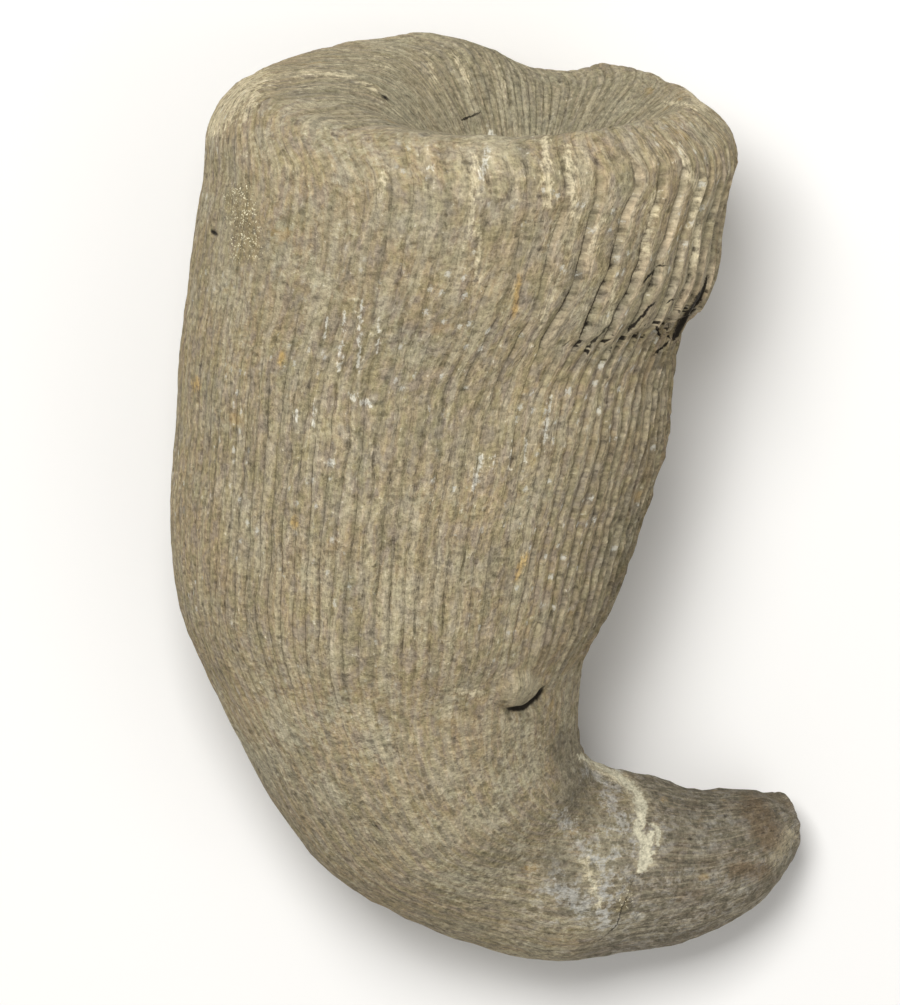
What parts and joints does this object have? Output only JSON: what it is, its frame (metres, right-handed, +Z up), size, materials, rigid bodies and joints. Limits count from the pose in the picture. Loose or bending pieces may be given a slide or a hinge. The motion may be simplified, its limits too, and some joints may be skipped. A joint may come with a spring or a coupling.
{
  "type": "fossil horn coral",
  "caption": "Fossil horn coral lying on its side: a curved ridged horn with a thick rolled rim round its cup and a blunt broken tip, for display or study.",
  "frame": {"origin": "middle of the coral's outline on the surface it lies on", "axes": "+Y towards the calice, the wide cup end; +X towards the hollow side of the bend, where the tip points; +Z up"},
  "size_m": [0.0344, 0.0506, 0.0246],
  "materials": {
    "grey_tan_stone": "dry matte limestone, grey-tan, darker in the grooves, with cream and white calcite streaks"
  },
  "bodies": {
    "root": {"horn_coral": "grey_tan_stone"}
  },
  "joints": []
}
